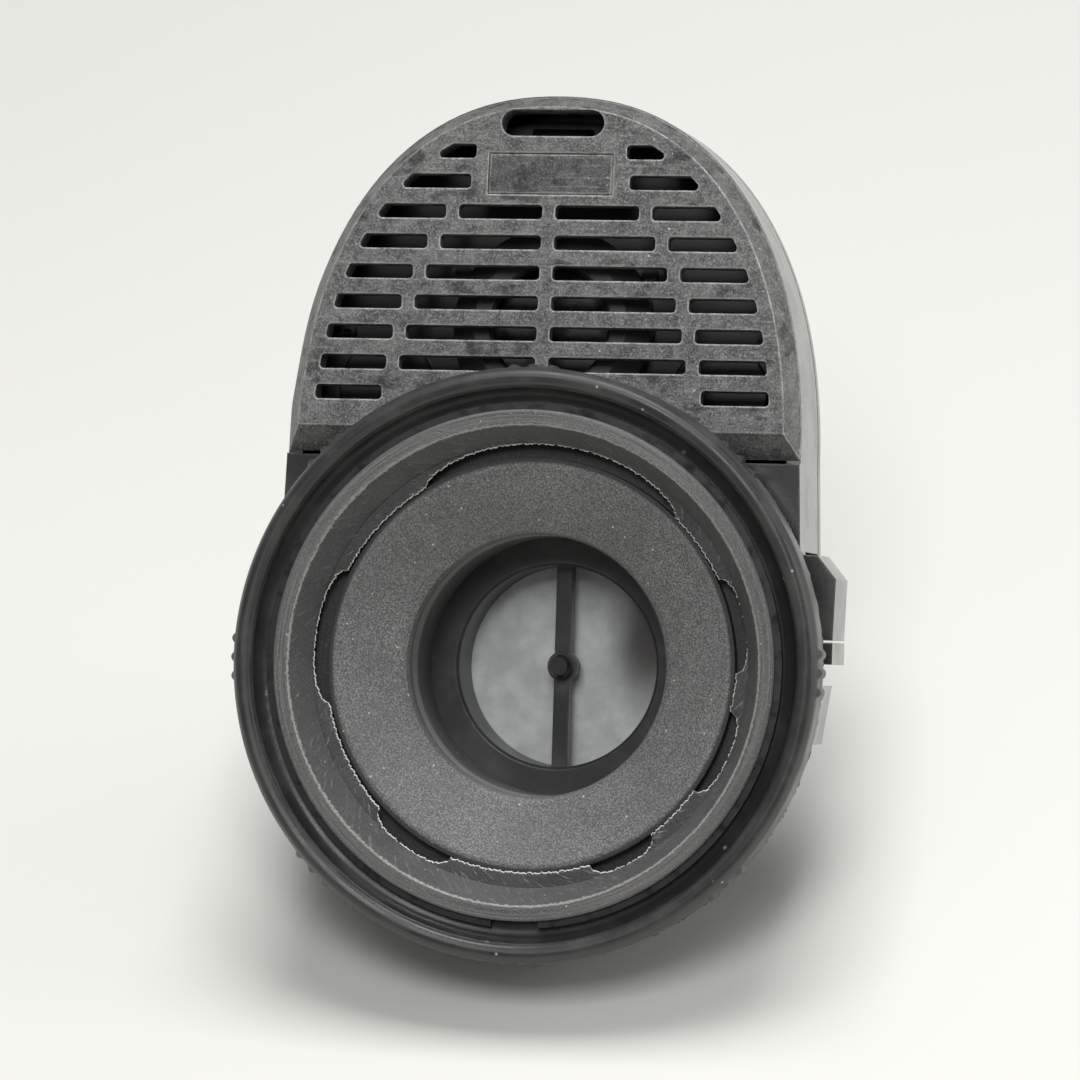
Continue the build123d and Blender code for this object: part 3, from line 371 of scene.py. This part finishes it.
SHINE = {"rough": 0.3, "Coat_Weight": 0.6, "Coat_Roughness": 0.2}
dress(moulded_plastic("housing_black", 0.032, 0.144, **SHINE), "main_housing", "rear_cover")
dress(moulded_plastic("button_black", 0.035, 0.192, **SHINE), "release_button_left", "release_button_right")
# The deck and the speech clamp sit behind the slots; their levels are set low as painted shade for the dark
# inside.
dress(moulded_plastic("deck_black_painted_shade", 0.013, 0.048), "chamber_deck")
dress(moulded_plastic("spigot_black", 0.042, 0.144, rough=0.36), "nose_spigot")
dress(moulded_plastic("speech_dark_painted_shade", 0.048, 0.128, rough=0.4), "speech_clamp")

# %% [markdown]
# ## The worn cover
#
# The slotted front has been handled and knocked: its black has gone to mid grey, with darker smears
# and pale bruises on the bars. Its slot lips are rubbed, and are also painted bright on top as a highlight.
# Three noises of different sizes make the mottle, and scratches are noise that is stretched along one
# direction.


# %% Cover plastic
def worn_cover(name, level):
    """Grey mottle of three noise sizes, dark smears, grain, fine scratches, slot lips with wear and a painted
    highlight, and specks.
    """
    f = Finish(name, Roughness=0.45)
    soft, edge = f.edges(0.55)
    mottle = f.noise(3.2, 6.0, 0.7)
    smear = f.noise(6.0, 6.0, 0.7, f.stretched((0.8, 1.0, 1.0))).ramp(0.54, 0.64)
    bruise = f.noise(0.9, 5.0, 0.75).ramp(0.52, 0.66)
    grain = f.noise(0.33, 4.0, 0.8)
    scratch = f.noise(0.5, 2.0, 0.55, f.stretched((0.06, 1.0, 1.0))).ramp(0.60, 0.68)
    base = f.mix(mottle.ramp(0.36, 0.64), grey(level * 0.45), grey(level * 1.25, 0.01))
    base = f.mix(bruise * 0.3, base, grey(level * 2.2, 0.02))
    base = f.mix(grain.ramp(0.48, 0.62) * 0.6, base, grey(level * 3.6, 0.02))
    base = f.mix(smear * 0.75, base, grey(0.02))
    base = f.mix(scratch * 0.25, base, grey(0.4, 0.02))
    # Edges painted a bright grey: partly rubbed wear, partly a painted highlight where light catches the slot
    # lips.
    base = f.mix(edge * f.noise(2.0, 4.0, 0.7).ramp(0.3, 0.6, 0.3, 1.0), base, grey(0.75, 0.03))
    base = f.mix(f.specks(1.1, 0.04) * 0.8, base, grey(0.64, 0.05))
    f.feed("Base Color", base)
    f.feed("Roughness", mottle * 0.25 + smear * 0.08 + edge * -0.1 + 0.24)
    f.bump(grain + bruise * 0.8 + mottle * 0.6, 0.14, soft)
    return f.material


dress(worn_cover("cover_worn", 0.125), "slotted_cover")
dress(worn_cover("badge_worn", 0.075), "blank_badge")

# %% [markdown]
# ## Turned and grained plastic of the inlet
#
# The collar's front face shows fine rings from the lathe and is rubbed to a lighter grey; the cone
# inside it is darker with scratches that run round. The funnel is sandy, with painted shade deep in
# its throat and in the groove at its rim, and a painted highlight band part way down the throat. Both
# use the radius from the port's axis, so the rings stay true from any side.


# %% Collar and funnel
def scored(f, radius, angle):
    """Pale slanting scores on the cone: noise on a grid wound round the axis, stretched along the slant."""
    along = radius * 0.5 + angle * 5.0
    across = angle * 44.0 - radius * 2.0
    slant = f.node("ShaderNodeCombineXYZ", {}, {0: along, 1: across, 2: 0.0})
    fine = f.node("ShaderNodeTexNoise", {}, {"Vector": slant, "Scale": 1.0, "Detail": 3.0}, "Fac")
    return fine.ramp(0.55, 0.68) * f.noise(3.0, 3.0).ramp(0.35, 0.55)


def wound_noise(f, radius, angle, depth, pitch):
    """Noise drawn out round the axis, as the marks of turning are; pitch is marks per millimetre."""
    wound = f.node("ShaderNodeCombineXYZ", {}, {0: radius * pitch, 1: angle * 1.5, 2: depth * pitch})
    return f.node("ShaderNodeTexNoise", {}, {"Vector": wound, "Scale": 1.0, "Detail": 3.0}, "Fac")


def turned_plastic(name, level, face_level, face_mm):
    """Dark scored cone; outside radius face_mm a turned face that ends in a ragged bright burr; specks."""
    f = Finish(name, Roughness=0.45)
    radius, angle, depth = f.turned()
    soft, edge = f.edges(0.3)
    rings = wound_noise(f, radius, angle, depth, 5.0)
    score = scored(f, radius, angle)
    grain = f.noise(0.3, 3.0, 0.75)
    ragged = radius + f.noise(0.6, 4.0, 0.75) * 1.2 - (face_mm + 0.6)
    face = ragged.ramp(-0.1, 0.05)
    burr = face * ragged.ramp(0.25, 0.45, 1.0, 0.0)
    blotch = f.noise(5.0, 5.0, 0.6).ramp(0.35, 0.7)
    base = f.mix(grain.ramp(0.3, 0.7), grey(level * 0.6), grey(level * 1.4))
    base = f.mix(blotch * 0.4, base, grey(level * 0.6))
    base = f.mix(score * 0.6, base, grey(face_level * 1.6, 0.02))
    turned = f.mix(rings.ramp(0.36, 0.64), grey(face_level * 0.6), grey(face_level * 1.2, 0.02))
    base = f.mix(face, base, turned)
    base = f.mix(face * grain.ramp(0.52, 0.7) * 0.5, base, grey(face_level * 2.6, 0.03))
    base = f.mix(burr * 0.6, base, grey(face_level * 3.4, 0.04))
    base = f.mix(edge * f.noise(1.5).ramp(0.3, 0.6, 0.1, 0.5), base, grey(face_level * 1.6, 0.03))
    base = f.mix(f.specks(0.9, 0.04) * 0.8, base, grey(0.56, 0.05))
    f.feed("Base Color", base)
    f.feed("Roughness", rings * 0.25 + 0.28)
    f.bump(rings * 0.6 + score + burr + grain * 0.8, 0.06, soft)
    return f.material


def sandy_funnel():
    """Fine sand of pale and dark grains, rings from the mould, painted shade deep in the throat and in the
    rim groove, and a painted highlight band inside the throat.
    """
    f = Finish("funnel_sandy", Roughness=0.5)
    radius, angle, depth = f.turned()
    soft, edge = f.edges(0.4)
    sand = f.noise(0.28, 3.0, 0.8)
    rings = wound_noise(f, radius, angle, depth, 2.4)
    cloud = f.noise(11.0, 5.0, 0.6).ramp(0.3, 0.7)
    deep = depth.ramp(12.0, 19.0)
    painted_step_highlight = depth.ramp(15.6, 16.4) * depth.ramp(19.0, 21.0, 1.0, 0.0)
    groove = radius.ramp(33.9, 34.5)
    base = f.mix(sand.ramp(0.42, 0.66), grey(0.09), grey(0.38, 0.015))
    base = f.mix(cloud * 0.35, base, grey(0.08))
    base = f.mix(rings.ramp(0.45, 0.75) * 0.35, base, grey(0.224, 0.015))
    # Painted shade: the funnel darkens deeper into the throat.
    base = f.mix(deep * 0.25, base, grey(0.042))
    # Painted highlight: a pale band part way down the throat, where a lit step edge would be.
    base = f.mix(painted_step_highlight * rings.ramp(0.35, 0.6, 0.35, 0.85), base, grey(0.42, 0.02))
    base = f.mix(edge * 0.5, base, grey(0.32, 0.02))
    base = f.mix(f.specks(1.0, 0.05) * 0.9, base, grey(0.72, 0.06))
    # Painted shade: near black in the groove at the funnel's rim.
    base = f.mix(groove * 0.85, base, grey(0.01))
    f.feed("Base Color", base)
    f.feed("Roughness", sand * 0.2 + painted_step_highlight * -0.12 + 0.4)
    f.bump(sand + rings * 0.8, 0.07, soft)
    return f.material


dress(turned_plastic("collar_turned", 0.115, 0.135, 40.1), "inlet_collar")
dress(moulded_plastic("lock_ring_black", 0.019, 0.08, rough=0.34), "lock_ring")
dress(sandy_funnel(), "inlet_funnel")
dress(moulded_plastic("seat_black", 0.045, 0.14, rough=0.34), "valve_seat")

# %% [markdown]
# ## Rubber, silicone, steel and foil
#
# Old rubber is dull and dark with a grey bloom on its rim and grit in it. The valve discs are milky
# silicone that lets a little light through, smeared by use; the inlet disc also has painted shade near
# its right edge. Screws and springs are plain steel with brushed streaks.


# %% Soft and small finishes
def old_rubber(name, level, bloom_level, edge_mm=0.25):
    """Dull rubber: bloom in patches, tiny pits, wiped streaks round the rim, pale edges and grit."""
    f = Finish(name, Roughness=0.5, Specular_IOR_Level=0.45)
    radius, angle, depth = f.turned()
    soft, edge = f.edges(edge_mm)
    bloom = f.noise(7.0, 5.0, 0.6).ramp(0.4, 0.75)
    wiped = wound_noise(f, radius, angle, depth, 1.2).ramp(0.45, 0.7)
    pits = f.noise(0.3, 2.0)
    base = f.mix(bloom, grey(level), grey(bloom_level, 0.02))
    base = f.mix(wiped * 0.35, base, grey(bloom_level * 1.4, 0.02))
    base = f.mix(edge * f.noise(1.0, 3.0).ramp(0.3, 0.7) * 0.7, base, grey(bloom_level * 3.5, 0.03))
    base = f.mix(f.specks(1.3, 0.05) * 0.8, base, grey(0.48, 0.06))
    f.feed("Base Color", base)
    f.feed("Roughness", bloom * 0.2 + wiped * 0.1 + 0.3)
    f.bump(pits + wiped * 0.5, 0.03, soft)
    return f.material


def torn_rubber():
    """Grey scored rubber like the cone above it, with a pale fresh edge where the torn attribute nears 1."""
    f = Finish("lip_rubber_torn", Roughness=0.6)
    radius, angle, _ = f.turned()
    score = scored(f, radius, angle)
    grain = f.noise(0.3, 3.0, 0.75)
    torn = f.node("ShaderNodeAttribute", {"attribute_name": "torn"}, {}, "Fac")
    fresh = (torn + f.noise(0.5, 3.0, 0.7) * 0.8).ramp(1.0, 1.25)
    base = f.mix(grain.ramp(0.3, 0.7), grey(0.035), grey(0.083))
    base = f.mix(score * 0.6, base, grey(0.32, 0.02))
    base = f.mix(fresh * 0.9, base, grey(0.85, 0.05))
    f.feed("Base Color", base)
    f.feed("Roughness", grain * 0.2 + 0.45)
    f.bump(grain + score + fresh, 0.06)
    return f.material


def milky_silicone(name, level, stem_mm, smudge_and_shade_mm):
    """Cloudy silicone, black within stem_mm of the port's axis, with a dark brown patch centred the given
    millimetres right and up: partly a smudge, partly painted shade from the throat wall.
    """
    f = Finish(name, Roughness=0.36, Subsurface_Weight=0.1, Subsurface_Scale=0.002)
    f.shader.inputs["Subsurface Radius"].default_value = (1.0, 1.0, 1.0)
    radius, angle, _ = f.turned()
    cloud = f.noise(7.0, 5.0, 0.6)
    streak = f.noise(2.0, 3.0, 0.55, f.stretched((1.0, 0.25, 1.0)))
    u = radius * angle.math("COSINE") - smudge_and_shade_mm[0]
    v = (radius * angle.math("SINE") - smudge_and_shade_mm[1]) * 0.65
    away = (u * u + v * v) ** 0.5
    pale = tuple(level * c for c in (0.96, 1.0, 1.0)) + (1.0,)
    dull = tuple(0.72 * c for c in pale[:3]) + (1.0,)
    base = f.mix(cloud.ramp(0.3, 0.7), dull, pale)
    base = f.mix(streak.ramp(0.5, 0.75) * 0.4, base, dull)
    # Dark patch up and to the right: partly a smudge, partly painted shade where the throat wall shadows the
    # disc.
    base = f.mix(away.ramp(1.5, 9.5, 0.9, 0.0), base, (0.06, 0.05, 0.045, 1.0))
    base = f.mix(radius.ramp(stem_mm - 0.1, stem_mm, 1.0, 0.0), base, grey(0.019))
    f.feed("Base Color", base)
    f.feed("Roughness", cloud * 0.25 + 0.26)
    f.bump(cloud, 0.03)
    return f.material


def brushed_metal(name, colour, rough):
    """Steel or foil with short brushed streaks and dull spots."""
    f = Finish(name, Metallic=1.0, Roughness=rough)
    soft, _ = f.edges(0.12)
    streak = f.noise(0.5, 3.0, place=f.stretched((0.15, 1.0, 1.0)))
    dull = f.noise(3.0, 4.0).ramp(0.45, 0.7)
    base = f.mix(dull, colour, tuple(0.55 * c for c in colour[:3]) + (1.0,))
    f.feed("Base Color", base)
    f.feed("Roughness", streak * 0.2 + dull * 0.2 + (rough - 0.1))
    f.bump(streak, 0.008, soft)
    return f.material


def put(piece, material):
    """Give a new piece its finish."""
    piece.data.materials.append(material)
    print(material.name, "on", piece.name)


put(grip, old_rubber("grip_rubber_old", 0.036, 0.062))
put(lip, torn_rubber())
dress(old_rubber("gasket_rubber", 0.019, 0.035), "seal_lip", "grip_sleeve", "housing_gasket", "funnel_gasket",
      "speech_gasket", "spigot_oring")
dress(milky_silicone("inhale_silicone", 0.88, 2.1, (14.0, 4.0)), "inhale_valve")
dress(milky_silicone("exhale_silicone", 0.05, 0.5, (0.0, 0.0)), "exhale_valve_left", "exhale_valve_right")
steel = brushed_metal("screw_steel", (0.42, 0.42, 0.43, 1.0), 0.35)
dress(steel, "rear_cover_screws", "spigot_screws", "button_spring_left", "button_spring_right")
blacked = brushed_metal("steel_blacked", (0.06, 0.06, 0.06, 1.0), 0.45)
dress(blacked, "ring_clip", "deck_screws", "speech_screws", "collar_screws", "cover_detent")
dress(brushed_metal("diaphragm_foil", (0.07, 0.07, 0.075, 1.0), 0.4), "speech_diaphragm")
dress(moulded_plastic("washer_pale", 0.48, 0.64, rough=0.4), "ring_washer")

# %% [markdown]
# ## Table, light and camera
#
# The unit stands on a pale table under a broad soft light; the table's colour is painted greyer
# towards the back as shade. The camera looks down at about the slope of the inlet's axis, a little from
# the right, through a long lens. Its aim is worked out from where the rim's centre falls in the picture:
# the view axis is turned until that point sits on its pixel.

# %% Table
TABLE = 1.6
floor_mesh = bpy.data.meshes.new("table")
TABLE_CORNERS = [(-TABLE, -TABLE, 0), (TABLE, -TABLE, 0), (TABLE, TABLE, 0), (-TABLE, TABLE, 0)]
floor_mesh.from_pydata(TABLE_CORNERS, [], [(0, 1, 2, 3)])
table = bpy.data.objects.new("table", floor_mesh)
bpy.context.scene.collection.objects.link(table)
paper = Finish("table_paper", Roughness=0.9, Specular_IOR_Level=0.1)
# Painted shade: the table's colour greys towards the back.
painted_far_shade = paper.node("ShaderNodeSeparateXYZ", {}, {0: paper.place}, 1).ramp(-0.12, 0.30)
near_tone = paper.mix(paper.noise(60.0, 3.0), (0.855, 0.85, 0.812, 1.0), (0.875, 0.87, 0.832, 1.0))
paper.feed("Base Color", paper.mix(painted_far_shade, near_tone, (0.76, 0.756, 0.726, 1.0)))
put(table, paper.material)

# %% Light
world = bpy.data.worlds.new("studio")
bpy.context.scene.world = world
world.use_nodes = True
surround = next(n for n in world.node_tree.nodes if n.type == "BACKGROUND")
surround.inputs["Color"].default_value = (1.0, 0.995, 0.98, 1.0)
surround.inputs["Strength"].default_value = 0.17


def soft_box(name, place, aim, size, watts):
    """Square area lamp at place, turned to face aim."""
    lamp = bpy.data.lights.new(name, "AREA")
    lamp.shape = "SQUARE"
    lamp.size = size
    lamp.energy = watts
    holder = bpy.data.objects.new(name, lamp)
    holder.location = place
    holder.rotation_euler = (Vector(aim) - Vector(place)).to_track_quat("-Z", "Y").to_euler()
    bpy.context.scene.collection.objects.link(holder)
    print(name, size, "m,", watts, "W")


soft_box("overhead_box", (0.05, 0.34, 1.1), (0, 0, 0.03), 0.55, 9.3)
soft_box("front_box", (0.08, -0.56, 1.0), (0, 0, 0.05), 0.4, 4.3)
soft_box("right_card", (1.0, 0.15, 0.35), (0, 0, 0.05), 0.6, 2.6)

# %% Camera
PICTURE = 1080
FOCAL_PIXELS = 5450.0
RIM_PIXEL = np.array([520.0, 665.0])
DISTANCE = 0.91
YAW = math.radians(12.0)
ROLL = math.radians(1.7)


def aim_camera():
    """Camera at YAW from the rim's axis, turned so that the rim's centre falls on its pixel, then rolled."""
    towards = OUT * math.cos(YAW) + RIGHT * math.sin(YAW)
    side = RIGHT * math.cos(YAW) - OUT * math.sin(YAW)
    right = side * math.cos(ROLL) + UP * math.sin(ROLL)
    up = UP * math.cos(ROLL) - side * math.sin(ROLL)
    x, y = (RIM_PIXEL - PICTURE / 2) / FOCAL_PIXELS * (1, -1)
    forward = -towards - x * right - y * up
    forward /= np.linalg.norm(forward)
    right = right - forward * np.dot(right, forward)
    right /= np.linalg.norm(right)
    up = np.cross(right, forward)
    place = RIM_CENTRE + towards * DISTANCE
    turn = np.eye(4)
    turn[:3, :3] = np.stack([right, up, -forward], axis=1)
    turn[:3, 3] = place
    return Matrix(turn.tolist())


lens = bpy.data.cameras.new("camera")
lens.sensor_width = 36.0
lens.lens = FOCAL_PIXELS / PICTURE * lens.sensor_width
lens.clip_start = 0.05
camera = bpy.data.objects.new("camera", lens)
camera.matrix_world = aim_camera()
bpy.context.scene.collection.objects.link(camera)
bpy.context.scene.camera = camera
bpy.context.scene.view_settings.view_transform = "Standard"
print("camera", np.round(camera.matrix_world.translation, 3), "lens", round(lens.lens, 1), "mm")
